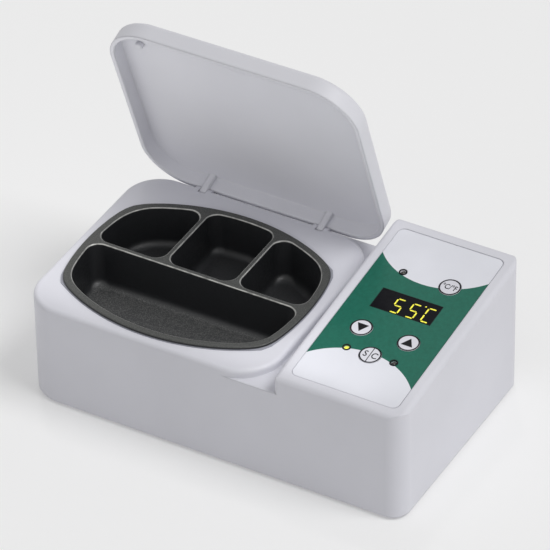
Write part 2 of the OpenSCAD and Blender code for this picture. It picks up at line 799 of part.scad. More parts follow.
// Appliance inlet in the rear wall
module inlet() {
    back = y_back + 2.5;
    color([0.1, 0.1, 0.11]) difference() {
        union() {
            translate([inlet_x - inlet_flange_w / 2, y_back, inlet_z - inlet_flange_h / 2])
                cube([inlet_flange_w, back - y_back, inlet_flange_h]);
            translate([inlet_x - socket_w / 2 - 1.4, back - socket_depth - 3, inlet_z - socket_h / 2 - 1.4])
                cube([socket_w + 2.8, socket_depth + 2, socket_h + 2.8]);
        }
        translate([inlet_x, 0, inlet_z]) rotate([-90, 0, 0]) translate([0, 0, back - socket_depth])
            linear_extrude(socket_depth + eps) polygon([
                [-socket_w / 2, -socket_h / 2 + 4.5], [-socket_w / 2 + 4.5, -socket_h / 2],
                [socket_w / 2 - 4.5, -socket_h / 2], [socket_w / 2, -socket_h / 2 + 4.5],
                [socket_w / 2, socket_h / 2], [-socket_w / 2, socket_h / 2]]);
        for (side = [-1, 1]) translate([inlet_x + side * inlet_screw_x, back + eps, inlet_z])
            rotate([90, 0, 0]) cylinder(d = 3 + 2 * fit, h = 5);
        for (p = contact_places) translate([inlet_x + p[0], back - socket_depth - 2, inlet_z + p[1]])
            cube([contact_t + 2 * fit, 8, contact_w + 2 * fit], center = true);
    }
}

// Three flat contacts standing on the socket's floor
module inlet_pins() {
    floor_y = y_back + 2.5 - socket_depth;
    color([0.8, 0.78, 0.7]) for (p = contact_places)
        translate([inlet_x + p[0] - contact_t / 2, floor_y - 6, inlet_z + p[1] - contact_w / 2])
            cube([contact_t, 6 + 12, contact_w]);
}

module inlet_screw(side) {
    color([0.7, 0.7, 0.72]) translate([inlet_x + side * inlet_screw_x, y_back + 2.5 + 1.6, inlet_z])
        rotate([90, 0, 0]) {
            cylinder(r = 2.8, h = 1.6);
            cylinder(r = 1.5, h = 1.6 + 2.5 + wall + 3);
        }
}
module inlet_screw_left() { inlet_screw(-1); }
module inlet_screw_right() { inlet_screw(1); }

// Switch body with its rim, and the rocker that tips in it
module rocker_frame() {
    color([0.1, 0.1, 0.11]) difference() {
        union() {
            translate([switch_x - frame_w / 2, y_back, switch_z - frame_h / 2]) cube([frame_w, 1.6, frame_h]);
            translate([switch_x - frame_w / 2 + 1.2, y_back - 16, switch_z - frame_h / 2 + 1.2])
                cube([frame_w - 2.4, 16.5, frame_h - 2.4]);
        }
        translate([switch_x - rocker_w / 2 - gap, y_back - 13.4, switch_z - rocker_h / 2 - gap])
            cube([rocker_w + 2 * gap, 30, rocker_h + 2 * gap]);
        translate([switch_x, rocker_y, switch_z]) rotate([0, 90, 0])
            cylinder(r = rocker_pin_r + run, h = rocker_w + 2, center = true);
    }
}
module rocker() {
    color([0.13, 0.13, 0.14]) translate([switch_x, rocker_y, switch_z]) rotate([rocker_swing / 2, 0, 0]) {
        rotate([90, 0, 90]) linear_extrude(rocker_w, center = true)
            polygon([[-4.5, -rocker_tip], [rocker_reach, -rocker_tip], [rocker_reach - 1.6, 0],
                [rocker_reach, rocker_tip], [-4.5, rocker_tip]]);
        rotate([0, 90, 0]) cylinder(r = rocker_pin_r, h = rocker_w + 1.6, center = true);
    }
}

housing();
base_plate();
foot_front_left();
foot_front_right();
foot_rear_left();
foot_rear_right();
base_screw_1();
base_screw_2();
base_screw_3();
base_screw_4();
pot();
pot_gasket();
heater_foil();
heater_clamp();
clamp_screw();
probe();
cutout();
lid();
lid_nub_left();
lid_nub_right();
hinge_pin_left();
hinge_pin_right();
overlay();
display_window();
display_module();
led_unit();
led_heat();
led_timer();
key_unit();
key_down();
key_up();
key_set();
key_switch_unit();
key_switch_down();
key_switch_up();
key_switch_set();
control_board();
board_screw_1();
board_screw_2();
board_screw_3();
board_screw_4();
power_board();
transformer();
relay();
capacitor();
terminal_block();
inlet();
inlet_pins();
inlet_screw_left();
inlet_screw_right();
rocker_frame();
rocker();
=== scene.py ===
"""Looks of a four-well wax heater for the dental bench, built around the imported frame."""
import math

import bmesh
import bpy
import numpy as np
from mathutils import Matrix, Vector
from mathutils.bvhtree import BVHTree
from mathutils.geometry import delaunay_2d_cdt


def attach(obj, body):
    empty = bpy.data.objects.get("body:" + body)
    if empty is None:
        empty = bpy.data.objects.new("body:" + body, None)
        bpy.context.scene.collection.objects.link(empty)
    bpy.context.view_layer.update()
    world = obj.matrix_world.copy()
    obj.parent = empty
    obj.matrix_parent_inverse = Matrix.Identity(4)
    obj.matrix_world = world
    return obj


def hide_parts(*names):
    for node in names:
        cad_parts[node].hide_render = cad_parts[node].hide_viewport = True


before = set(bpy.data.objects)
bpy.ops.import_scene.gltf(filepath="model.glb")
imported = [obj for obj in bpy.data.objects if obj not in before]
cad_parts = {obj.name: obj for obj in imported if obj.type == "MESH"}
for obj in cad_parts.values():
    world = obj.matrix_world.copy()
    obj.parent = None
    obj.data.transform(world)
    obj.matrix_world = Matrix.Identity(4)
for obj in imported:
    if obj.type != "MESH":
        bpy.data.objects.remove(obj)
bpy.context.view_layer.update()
MM = 0.001

# The panel in millimetres: x runs to the right and s up the slope from the front edge
Y_FRONT = -75.2
PANEL_Z = 72.4
PANEL_TILT = math.radians(6.2)
PANEL = Matrix.Translation((0, Y_FRONT, PANEL_Z)) @ Matrix.Rotation(PANEL_TILT, 4, "X")
LABEL_TOP = -0.2
KEYS = {"unit": (95.2, 103.5), "down": (66.2, 55.0), "up": (95.2, 55.0), "set": (80.7, 38.0)}
LEDS = {"unit": (66.2, 103.5), "heat": (66.2, 38.0), "timer": (95.2, 38.0)}

# The label's pale fields in metres: the middles (x, s) of their arcs, the radius and the ink's blur
FIELD_MIDDLES = ((0.0800, 0.1422), (0.0800, -0.0035))
FIELD_R = 0.0430
FIELD_BLUR = 0.00006

# The pot in millimetres: its middle, its outline's size and arcs, and its heights
POT_X, POT_Y = -43.2, -10.8
POT_W, POT_D = 142.0, 119.0
ARC_FRONT, ARC_SIDE = 115.0, 150.0
POT_TOP, FLANGE_Z, POT_FLOOR = 68.6, 67.1, 38.6

# Its walls: the lips' radius, the land beside the wells, the ribs between them and the wells' forms
LIP_R = 0.9
RIM_IN = 4.6
RIB_Y, RIB_T, MID_W = 0.3, 3.0, 42.0
CORNER_R, FILLET_R, DRAFT = 7.5, 5.0, 2.2
RIM_POINTS, MOUTH_POINTS, FINE_POINTS = 288, 200, 2880
LIP_STEPS, FILLET_STEPS = 5, 8

# Each well's straight sides as half planes (normal, level), a point inside it and its depth
BEHIND_RIB = ((0, -1), -(RIB_Y + RIB_T / 2))
WELLS = [
    ([((0, 1), RIB_Y - RIB_T / 2)], (0, -28), 26.0),
    ([BEHIND_RIB, ((1, 0), -MID_W / 2 - RIB_T)], (-42, 20), 24.0),
    ([BEHIND_RIB, ((1, 0), MID_W / 2), ((-1, 0), MID_W / 2)], (0, 24), 24.0),
    ([BEHIND_RIB, ((-1, 0), -MID_W / 2 - RIB_T)], (42, 20), 24.0),
]

# The heights in metres, and the steepness, over which the coating's tones come in; the front well floor's
# lighter tone is a painted sheen
LAND_Z, LAND_UP = (0.0672, 0.0681), (0.55, 0.9)
SHEEN_FLOOR_Z, SHEEN_FLOOR_UP = (0.0450, 0.0430), (0.6, 0.97)

# The camera's focal length and picture in pixels, its axes and its place in metres
FOCAL_PX, PICTURE_PX, SENSOR = 4767.92, 550, 36.0
CAMERA_AXES = (
    (0.87192615, 0.48940738, -0.01500655),
    (-0.28818186, 0.53771901, 0.79234430),
    (0.39584845, -0.68654110, 0.60988960),
)
CAMERA_PLACE = (1.043716, -1.808901, 1.683375)


def srgb(r, g, b):
    """Display colour of 0 to 255 as the linear colour that a shader takes."""
    def lin(v):
        v = v / 255
        return v / 12.92 if v <= 0.04045 else ((v + 0.055) / 1.055) ** 2.4
    return (lin(r), lin(g), lin(b), 1.0)


def tint(colour, gain, lift=0.0):
    """A colour made lighter or darker by a factor, and lifted."""
    return tuple(min(1.0, c * gain + lift) for c in colour[:3]) + (1.0,)


def placed(name, data):
    """A new object in the scene."""
    obj = bpy.data.objects.new(name, data)
    bpy.context.scene.collection.objects.link(obj)
    return obj


# Materials
class Finish:
    """A node material with short calls for the nodes that all finishes share."""

    def __init__(self, name, rough=0.45, metallic=0.0, specular=0.5):
        self.mat = bpy.data.materials.new(name)
        self.mat.use_nodes = True
        self.tree = self.mat.node_tree
        self.bsdf = self.tree.nodes["Principled BSDF"]
        self.bsdf.inputs["Roughness"].default_value = rough
        self.bsdf.inputs["Metallic"].default_value = metallic
        self.bsdf.inputs["Specular IOR Level"].default_value = specular
        self.place = self.make("ShaderNodeTexCoord").outputs["Object"]
        self.normal = None

    def make(self, kind, **settings):
        made = self.tree.nodes.new(kind)
        for key, value in settings.items():
            setattr(made, key, value)
        return made

    def put(self, socket, value):
        """Link a socket to a value that is a socket, or set it."""
        if isinstance(value, bpy.types.NodeSocket):
            self.tree.links.new(value, socket)
        elif value is not None:
            socket.default_value = value

    def math(self, operation, a, b=None):
        made = self.make("ShaderNodeMath", operation=operation)
        self.put(made.inputs[0], a)
        self.put(made.inputs[1], b)
        return made.outputs[0]

    def dot(self, vector, along):
        made = self.make("ShaderNodeVectorMath", operation="DOT_PRODUCT")
        self.put(made.inputs[0], vector)
        self.put(made.inputs[1], along)
        return made.outputs["Value"]

    def height_of(self, vector):
        made = self.make("ShaderNodeSeparateXYZ")
        self.put(made.inputs[0], vector)
        return made.outputs["Z"]

    def noise(self, scale, detail=2.0, rough=0.5, stretch=None):
        place = self.place
        if stretch:
            made = self.make("ShaderNodeMapping")
            self.put(made.inputs["Vector"], place)
            made.inputs["Scale"].default_value = stretch
            place = made.outputs[0]
        made = self.make("ShaderNodeTexNoise")
        self.put(made.inputs["Vector"], place)
        made.inputs["Scale"].default_value = scale
        made.inputs["Detail"].default_value = detail
        made.inputs["Roughness"].default_value = rough
        return made.outputs["Fac"]

    def span(self, value, low, high, to_low=0.0, to_high=1.0):
        """A value's range from low to high, spread from to_low to to_high."""
        made = self.make("ShaderNodeMapRange", clamp=True)
        for socket, v in zip(made.inputs, (value, low, high, to_low, to_high)):
            self.put(socket, v)
        return made.outputs[0]

    def patches(self, scale, to_low=0.0, to_high=1.0, low=0.3, high=0.7, **noise):
        """Noise, of which the range from low to high is spread from to_low to to_high."""
        return self.span(self.noise(scale, **noise), low, high, to_low, to_high)

    def mix(self, share, a, b):
        """Colour a where share is 0 and colour b where it is 1."""
        made = self.make("ShaderNodeMix", data_type="RGBA")
        self.put(made.inputs["Factor"], share)
        self.put(made.inputs[6], a)
        self.put(made.inputs[7], b)
        return made.outputs[2]

    def bevel(self, radius, samples):
        """The normal with its edges rounded."""
        made = self.make("ShaderNodeBevel", samples=samples)
        made.inputs["Radius"].default_value = radius
        return made.outputs[0]

    def edge(self, radius, low=0.02, high=0.25):
        """1 along edges and 0 on flat surfaces, from the rounded normal."""
        soft = self.bevel(radius, samples=6)
        hard = self.make("ShaderNodeNewGeometry").outputs["Normal"]
        return self.span(self.math("SUBTRACT", 1.0, self.dot(soft, hard)), low, high)

    def bump(self, height, distance, strength):
        """One more layer of bump on the normal."""
        made = self.make("ShaderNodeBump")
        made.inputs["Distance"].default_value = distance
        made.inputs["Strength"].default_value = strength
        self.put(made.inputs["Height"], height)
        self.put(made.inputs["Normal"], self.normal)
        self.normal = made.outputs[0]
        self.put(self.bsdf.inputs["Normal"], self.normal)

    def colour(self, value):
        self.put(self.bsdf.inputs["Base Color"], value)

    def rough(self, value):
        self.put(self.bsdf.inputs["Roughness"], value)


def moulded(name, base, rough=0.42, grain=900.0, depth=0.00002, vary=0.03, round_edge=0.0):
    """Moulded plastic: fine grain, faint clouds of tone, polished and slightly paler edges."""
    f = Finish(name, rough, specular=0.4)
    if round_edge:
        f.normal = f.bevel(round_edge, samples=8)
    tone = f.mix(f.patches(14.0, detail=3.0), tint(base, 1 - vary), tint(base, 1 + vary))
    edge_band = f.edge(radius=0.0012)
    spots = f.span(f.patches(220.0, low=0.35, high=0.65), 0, 1, 0.25, 0.7)
    f.colour(f.mix(f.math("MULTIPLY", edge_band, spots), tone, tint(base, 1.07, 0.012)))
    polish = f.math("MULTIPLY", edge_band, -0.1)
    f.rough(f.math("ADD", f.patches(60.0, rough - 0.04, rough + 0.05), polish))
    f.bump(f.noise(grain, rough=0.6), distance=depth, strength=0.6)
    f.bump(f.noise(9.0, detail=1.0), distance=0.00012, strength=0.35)
    return f.mat


def metal(name, base, rough, brushed=None):
    """Metal with fine scratches or a turned sheen, duller in patches."""
    f = Finish(name, rough, metallic=1.0)
    fine = f.noise(700.0, rough=0.6, stretch=brushed)
    tone = f.mix(f.patches(90.0, low=0.35, detail=3.0), base, tint(base, 0.72))
    f.colour(f.mix(f.math("MULTIPLY", f.edge(radius=0.0004), 0.6), tone, tint(base, 1.2)))
    f.rough(f.span(fine, 0.3, 0.7, rough - 0.07, rough + 0.12))
    f.bump(fine, distance=0.00001, strength=0.5)
    return f.mat


def rubber(name):
    """Dull rubber with dust in its pores."""
    f = Finish(name, 0.82, specular=0.3)
    dust = f.patches(160.0, 0.0, 0.35, 0.5, 0.75, detail=4.0)
    f.colour(f.mix(dust, srgb(38, 38, 40), srgb(84, 84, 86)))
    f.rough(f.patches(400.0, 0.75, 0.92))
    f.bump(f.noise(1200.0, detail=3.0), distance=0.00004, strength=0.6)
    return f.mat


def board(name):
    """Circuit board with tracks under the green lacquer."""
    f = Finish(name, 0.35)
    tracks = f.patches(240.0, low=0.47, high=0.5, detail=0.0, stretch=(1.0, 0.12, 1.0))
    f.colour(f.mix(tracks, srgb(16, 74, 44), srgb(34, 112, 66)))
    f.rough(f.patches(500.0, 0.28, 0.42))
    f.bump(tracks, distance=0.00003, strength=0.5)
    return f.mat


def cast_coating(name):
    """Dark non-stick coating on cast aluminium: grainy, scraped bright along the wells' edges by wax knives
    with a painted highlight there too, and a painted sheen on the front well's floor.
    """
    f = Finish(name, 0.5, specular=0.45)
    z = f.height_of(f.place)
    up = f.height_of(f.make("ShaderNodeNewGeometry").outputs["Normal"])
    land = f.math("MULTIPLY", f.span(z, *LAND_Z), f.span(up, *LAND_UP))
    # Painted sheen: the front well's floor gets a lighter tone; its flecks are the coating's grain, and its
    # lightness stands in for the light it catches
    floor = f.math("MULTIPLY", f.span(z, *SHEEN_FLOOR_Z), f.span(up, *SHEEN_FLOOR_UP))
    grain = f.noise(1500.0, 3.0, 0.75)
    fleck = f.patches(1700.0, low=0.46, high=0.66, rough=0.7)
    wall_tone = f.mix(f.span(grain, 0.3, 0.7), srgb(21, 22, 24), srgb(30, 31, 33))
    land_tone = f.mix(f.span(grain, 0.35, 0.68), srgb(42, 43, 42), srgb(86, 87, 84))
    fleck_and_sheen_tone = f.mix(fleck, srgb(52, 53, 54), srgb(98, 98, 97))
    tone = f.mix(land, wall_tone, land_tone)
    tone = f.mix(f.math("MULTIPLY", floor, 0.9), tone, fleck_and_sheen_tone)
    # Painted highlight: the pale, partly metallic line along the lips stands partly for bare metal scuffed
    # by wax knives and partly for light on the rounded lips
    wear_and_highlight = f.make("ShaderNodeAttribute", attribute_name="wear_and_highlight").outputs["Fac"]
    rub_and_highlight = f.span(wear_and_highlight, 0.45, 0.95)
    broken = f.math("MULTIPLY", rub_and_highlight, f.patches(240.0, 0.35, 0.9, high=0.62, detail=3.0))
    f.colour(f.mix(broken, tone, srgb(192, 192, 188)))
    f.rough(f.patches(700.0, 0.34, 0.52))
    f.put(f.bsdf.inputs["Metallic"], f.math("MULTIPLY", broken, 0.5))
    f.bump(grain, distance=0.00006, strength=0.75)
    f.bump(f.noise(260.0), distance=0.00008, strength=0.4)
    return f.mat


def printed_label(name):
    """Printed film: a green band between two pale fields whose edges are arcs of a circle."""
    f = Finish(name, 0.36, specular=0.3)
    slope = (0.0, math.cos(PANEL_TILT), math.sin(PANEL_TILT))
    start = (Y_FRONT * slope[1] + PANEL_Z * slope[2]) * MM
    x = f.dot(f.place, (1.0, 0.0, 0.0))
    s = f.math("SUBTRACT", f.dot(f.place, slope), start)
    fields = []
    for middle_x, middle_s in FIELD_MIDDLES:
        dx = f.math("SUBTRACT", x, middle_x)
        ds = f.math("SUBTRACT", s, middle_s)
        far = f.math("SQRT", f.math("ADD", f.math("MULTIPLY", dx, dx), f.math("MULTIPLY", ds, ds)))
        fields.append(f.span(far, FIELD_R + FIELD_BLUR, FIELD_R - FIELD_BLUR))
    pale = f.math("MAXIMUM", *fields)
    green = f.mix(f.patches(420.0, detail=3.0, rough=0.7), srgb(10, 90, 73), srgb(18, 101, 83))
    white = f.mix(f.patches(30.0), srgb(218, 219, 226), srgb(224, 225, 232))
    # Painted shade: the film's cut edges turn grey, standing in for the shaded sides of the raised label
    edge_band = f.math("MULTIPLY", f.edge(radius=0.0003, low=0.05, high=0.4), 0.4)
    f.colour(f.mix(edge_band, f.mix(pale, green, white), srgb(120, 124, 126)))
    f.rough(f.patches(300.0, 0.28, 0.4))
    f.bump(f.noise(1600.0), distance=0.000012, strength=0.5)
    return f.mat


def smoked_window(name):
    """Dark glossy window with faint smears."""
    f = Finish(name, 0.14, specular=0.08)
    f.colour(f.mix(f.patches(200.0), srgb(15, 15, 19), srgb(20, 20, 24)))
    f.rough(f.patches(90.0, 0.1, 0.22, low=0.35, detail=3.0))
    f.bump(f.noise(40.0, detail=1.0), distance=0.00001, strength=0.4)
    return f.mat


def glowing(name, base, glow, strength):
    """A lit segment or lens."""
    f = Finish(name, 0.3)
    f.colour(f.mix(f.patches(900.0, low=0.35, high=0.65), base, glow))
    f.rough(f.patches(500.0, 0.22, 0.35))
    f.bump(f.noise(1400.0), distance=0.000008, strength=0.4)
    f.bsdf.inputs["Emission Color"].default_value = glow
    f.bsdf.inputs["Emission Strength"].default_value = strength
    return f.mat


def lens(name, base):
    """An unlit lens."""
    f = Finish(name, 0.16)
    f.colour(f.mix(f.patches(700.0, low=0.35, high=0.65), base, srgb(96, 92, 84)))
    f.rough(f.patches(500.0, 0.1, 0.24))
    f.bump(f.noise(900.0), distance=0.00001, strength=0.4)
    return f.mat


def ink(name, base):
    """Printing ink, slightly uneven."""
    f = Finish(name, 0.5, specular=0.15)
    f.colour(f.mix(f.patches(900.0, low=0.4, detail=3.0), base, tint(base, 1.6, 0.004)))
    f.rough(f.patches(700.0, 0.34, 0.5))
    f.bump(f.noise(1500.0), distance=0.000006, strength=0.4)
    return f.mat


def wound(name, base):
    """Enamelled winding or a ribbed core."""
    f = Finish(name, 0.35, metallic=0.4)
    wave = f.make("ShaderNodeTexWave", wave_type="BANDS", bands_direction="Z")
    f.put(wave.inputs["Vector"], f.place)
    wave.inputs["Scale"].default_value = 300.0
    f.colour(f.mix(wave.outputs["Fac"], tint(base, 0.5), base))
    f.rough(f.patches(300.0, 0.3, 0.5))
    f.bump(wave.outputs["Fac"], distance=0.0001, strength=0.6)
    return f.mat


SHELL = moulded("shell_plastic", srgb(213, 213, 220), round_edge=0.0012)
LID = moulded("lid_plastic", srgb(216, 216, 222), rough=0.45, round_edge=0.002)
GASKET = moulded("gasket_silicone", srgb(150, 151, 160), rough=0.6, grain=1400.0)
BLACK = moulded("black_plastic", srgb(30, 30, 33), rough=0.45, vary=0.12)
CHARCOAL = moulded("switch_plastic", srgb(42, 42, 45), rough=0.36, vary=0.1)
BEIGE = moulded("terminal_plastic", srgb(186, 196, 176), rough=0.5)
BLUE = moulded("relay_plastic", srgb(38, 74, 140), rough=0.4, vary=0.08)
CAP = moulded("cap_plastic", srgb(214, 214, 221), rough=0.38, grain=1500.0, depth=0.00001)
UNDER = moulded("base_plastic", srgb(188, 188, 196), rough=0.55, grain=700.0)
STEEL = metal("plated_steel", srgb(196, 196, 200), 0.3, brushed=(1.0, 1.0, 0.08))
BRASS = metal("nickelled_brass", srgb(206, 198, 176), 0.25)
FOIL = metal("heater_copper", srgb(196, 120, 78), 0.38, brushed=(0.1, 1.0, 1.0))
ALUMINIUM = metal("can_aluminium", srgb(200, 202, 206), 0.35)
RUBBER = rubber("foot_rubber")
BOARD = board("circuit_board")
COAT = cast_coating("cast_coating")
FILM = printed_label("printed_film")
WINDOW = smoked_window("smoked_window")
GLOW = glowing("segment_light", srgb(96, 92, 26), srgb(224, 218, 62), 0.86)
LIT = glowing("lit_lens", srgb(214, 214, 70), srgb(232, 228, 84), 0.55)
LENS = lens("dark_lens", srgb(58, 56, 54))
INK = ink("black_ink", srgb(13, 13, 16))
MARK = ink("white_ink", srgb(214, 214, 214))
WOUND = wound("transformer_core", srgb(150, 120, 92))

CAD_FINISH = {
    "housing": SHELL, "base_plate": UNDER, "lid": LID, "lid_nub_left": LID, "lid_nub_right": LID,
    "pot_gasket": GASKET, "heater_foil": FOIL, "heater_clamp": ALUMINIUM, "clamp_screw": STEEL,
    "probe": STEEL, "cutout": BLACK, "overlay": FILM, "display_window": WINDOW,
    "display_module": BLACK, "led_unit": LENS, "led_heat": LIT, "led_timer": LENS,
    "control_board": BOARD, "power_board": BOARD, "transformer": WOUND, "relay": BLUE,
    "capacitor": ALUMINIUM, "terminal_block": BEIGE, "inlet": BLACK, "inlet_pins": BRASS,
    "rocker_frame": BLACK, "rocker": CHARCOAL,
}


def finish_of(node):
    """The finish of a CAD node; the ones that the table leaves out are feet, key switches and fasteners."""
    if node in CAD_FINISH:
        return CAD_FINISH[node]
    if node.startswith("foot"):
        return RUBBER
    return BLACK if "switch" in node else STEEL


for node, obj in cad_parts.items():
    obj.data.materials.clear()
    obj.data.materials.append(finish_of(node))


# Mesh helpers
def piece(name, verts, faces, material, body="base", at=None, smooth=35.0, stands_for=(), wear_and_highlight=None):
    """A mesh piece from points in millimetres, riding on a body, with a value for each point that marks
    scuffed edges and their painted highlight.
    """
    at = at or Matrix.Identity(4)
    data = bpy.data.meshes.new(name)
    data.from_pydata([(at @ Vector(v)) * MM for v in verts], [], [list(f) for f in faces])
    if wear_and_highlight is not None:
        data.attributes.new("wear_and_highlight", "FLOAT", "POINT").data.foreach_set("value", wear_and_highlight)
    data.validate()
    made = bmesh.new()
    made.from_mesh(data)
    bmesh.ops.remove_doubles(made, verts=made.verts, dist=1e-7)
    bmesh.ops.recalc_face_normals(made, faces=made.faces)
    made.to_mesh(data)
    made.free()
    for p in data.polygons:
        p.use_smooth = True
    data.set_sharp_from_angle(angle=math.radians(smooth))
    data.materials.append(material)
    obj = placed(name, data)
    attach(obj, body)
    if stands_for:
        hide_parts(*stands_for)
    return obj


def oval(x, y, wide, high, n=32):
    """n points round an oval, from its middle and half sizes."""
    turns = [2 * math.pi * k / n for k in range(n)]
    return [(x + wide * math.cos(a), y + high * math.sin(a)) for a in turns]


def lathe(profile, n=64):
    """Verts and faces of a closed or axis-ended profile of (r, z) turned about Z."""
    verts, rings, faces = [], [], []
    for r, z in profile:
        if r == 0:
            rings.append([len(verts)] * n)
            verts.append((0.0, 0.0, z))
            continue
        rings.append(list(range(len(verts), len(verts) + n)))
        verts.extend((x, y, z) for x, y in oval(0.0, 0.0, r, r, n))
    for a, b in zip(rings, rings[1:]):
        for k in range(n):
            m = (k + 1) % n
            faces.append(tuple(dict.fromkeys((a[k], a[m], b[m], b[k]))))
    return verts, [f for f in faces if len(f) > 2]


def slab(outline, low, high):
    """Verts and faces of an outline raised from low to high."""
    n = len(outline)
    verts = [(x, y, low) for x, y in outline] + [(x, y, high) for x, y in outline]
    faces = [tuple(reversed(range(n)))]
    for k in range(n):
        m = (k + 1) % n
        faces.append((k, m, n + m, n + k))
    faces.append(tuple(range(n, 2 * n)))
    return verts, faces


def joined(parts):
    """Several (verts, faces) in one."""
    verts, faces = [], []
    for v, f in parts:
        shift = len(verts)
        verts += list(v)
        faces += [tuple(k + shift for k in face) for face in f]
    return verts, faces


def on_panel(x, s):
    return PANEL @ Matrix.Translation((x, s, 0))


# The cast pot
def discs(shrink):
    """The four circles whose overlap is the pot's outline, drawn in by shrink: centre and radius."""
    front, side = ARC_FRONT - POT_D / 2, ARC_SIDE - POT_W / 2
    return [((0, -front), ARC_FRONT - shrink), ((0, front), ARC_FRONT - shrink),
            ((side, 0), ARC_SIDE - shrink), ((-side, 0), ARC_SIDE - shrink)]


def rays(n, start=0.0):
    """n directions round a turn."""
    t = np.linspace(0, 2 * math.pi, n, endpoint=False) + start
    return np.stack([np.cos(t), np.sin(t)], 1)


def reach_in(directions, origin, circles, halves=()):
    """How far one can go from origin in each direction inside each circle and half plane."""
    parallel, endless = 1e-9, 1e6
    o = np.array(origin, float)
    found = []
    for c, r in circles:
        to = np.array(c, float) - o
        along = directions @ to
        found.append(along + np.sqrt(r * r - to @ to + along * along))
    for normal, level in halves:
        rate = directions @ np.array(normal, float)
        room = level - o @ np.array(normal, float)
        found.append(np.where(rate > parallel, room / np.maximum(rate, parallel), endless))
    return np.array(found)


def soft_least(reach, blend=3.0):
    """The least of several reaches, with the kinks where they cross smoothed."""
    low = reach.min(0)
    return low - blend * np.log(np.exp(-(reach - low) / blend).sum(0))


def rim(shrink):
    """The pot's outline drawn in, with its kinks smoothed."""
    u = rays(RIM_POINTS)
    return u * soft_least(reach_in(u, (0, 0), discs(shrink)))[:, None]


def mouth(sides, middle, shrink):
    """One well's outline, drawn in: a smaller outline of fine points, grown by the corners' radius."""
    inner = shrink + CORNER_R
    u = rays(FINE_POINTS)
    halves = [(normal, level - inner) for normal, level in sides]
    round_part = soft_least(reach_in(u, middle, discs(RIM_IN + inner)))
    straight_part = reach_in(u, middle, [], halves).min(0)
    core = np.array(middle, float) + u * np.minimum(round_part, straight_part)[:, None]
    v = rays(MOUTH_POINTS, start=0.001)
    return core[np.argmax(v @ core.T, axis=1)] + CORNER_R * v


def quarter(steps):
    """Angles from 90 degrees down to 0."""
    return [math.radians(90 - 90 * k / steps) for k in range(steps + 1)]


def build_pot():
    """Verts, faces and a value for each vert, which is 1 where wax knives rub the mouths bright and a
    highlight is painted along them.
    """
    verts, faces, wear_and_highlight = [], [], []

    def ring(points, z, rub_and_highlight=0.0):
        first = len(verts)
        verts.extend((POT_X + x, POT_Y + y, z) for x, y in points)
        wear_and_highlight.extend([rub_and_highlight] * len(points))
        return list(range(first, first + len(points)))

    def skin(rings):
        """Faces between rings, and the last ring closed."""
        for a, b in zip(rings, rings[1:]):
            n = len(a)
            faces.extend((a[k], a[(k + 1) % n], b[(k + 1) % n], b[k]) for k in range(n))
        faces.append(tuple(rings[-1]))

    # The rounded lip, then the flange's edge and underside and the tapered wall
    # The outer lip gets a weaker band of the same scuffing and painted highlight
    rim_wear_and_highlight = 0.45
    outer = [ring(rim(LIP_R - LIP_R * math.cos(a)), POT_TOP - LIP_R + LIP_R * math.sin(a),
                  rim_wear_and_highlight * math.sin(2 * a)) for a in quarter(LIP_STEPS)]
    outside = [(0.0, FLANGE_Z + 0.3), (0.3, FLANGE_Z), (2.7, FLANGE_Z), (2.8, FLANGE_Z - 1.2),
               (6.3, POT_FLOOR + 4.0), (7.2, POT_FLOOR + 1.2), (9.2, POT_FLOOR)]
    outer += [ring(rim(shrink), z) for shrink, z in outside]
    skin(outer)

    tops = []
    for sides, middle, depth in WELLS:
        floor = POT_TOP - depth
        rings = [ring(mouth(sides, middle, -LIP_R + LIP_R * math.cos(a)),
                      POT_TOP - LIP_R + LIP_R * math.sin(a), math.sin(2 * a)) for a in quarter(LIP_STEPS)]
        half_way = POT_TOP - LIP_R - (depth - LIP_R - FILLET_R) * 0.5
        rings.append(ring(mouth(sides, middle, DRAFT * 0.5), half_way))
        rings += [ring(mouth(sides, middle, DRAFT + FILLET_R - FILLET_R * math.cos(a)),
                       floor + FILLET_R - FILLET_R * math.sin(a))
                  for a in reversed(quarter(FILLET_STEPS))]
        skin(rings)
        tops.append(rings[0])

    # The flat land between the rim and the wells
    loops = [outer[0]] + tops
    flat = [k for loop in loops for k in loop]
    edges, start = [], 0
    for loop in loops:
        n = len(loop)
        edges += [(start + k, start + (k + 1) % n) for k in range(n)]
        start += n
    points = [Vector(verts[k][:2]) for k in flat]
    points, _, triangles, origins = delaunay_2d_cdt(points, edges, [], 0, 1e-5)[:4]
    back = [flat[origin[0]] if origin else None for origin in origins]

    def inside(p, loop):
        q = np.array([verts[k][:2] for k in loop])
        r = np.roll(q, -1, 0)
        hit = (q[:, 1] > p[1]) != (r[:, 1] > p[1])
        at = q[:, 0] + (p[1] - q[:, 1]) * (r[:, 0] - q[:, 0]) / np.where(hit, r[:, 1] - q[:, 1], 1)
        return int((hit & (p[0] < at)).sum()) % 2 == 1

    for triangle in triangles:
        mid = sum((points[k] for k in triangle), Vector((0, 0))) / 3
        if inside(mid, loops[0]) and not any(inside(mid, top) for top in tops):
            faces.append(tuple(back[k] for k in triangle))
    return verts, faces, wear_and_highlight


pot_verts, pot_faces, pot_wear_and_highlight = build_pot()
pot = piece("cast_pot", pot_verts, pot_faces, COAT, smooth=40.0, stands_for=["pot"], wear_and_highlight=pot_wear_and_highlight)
pot.modifiers.new("level", "WEIGHTED_NORMAL").keep_sharp = True

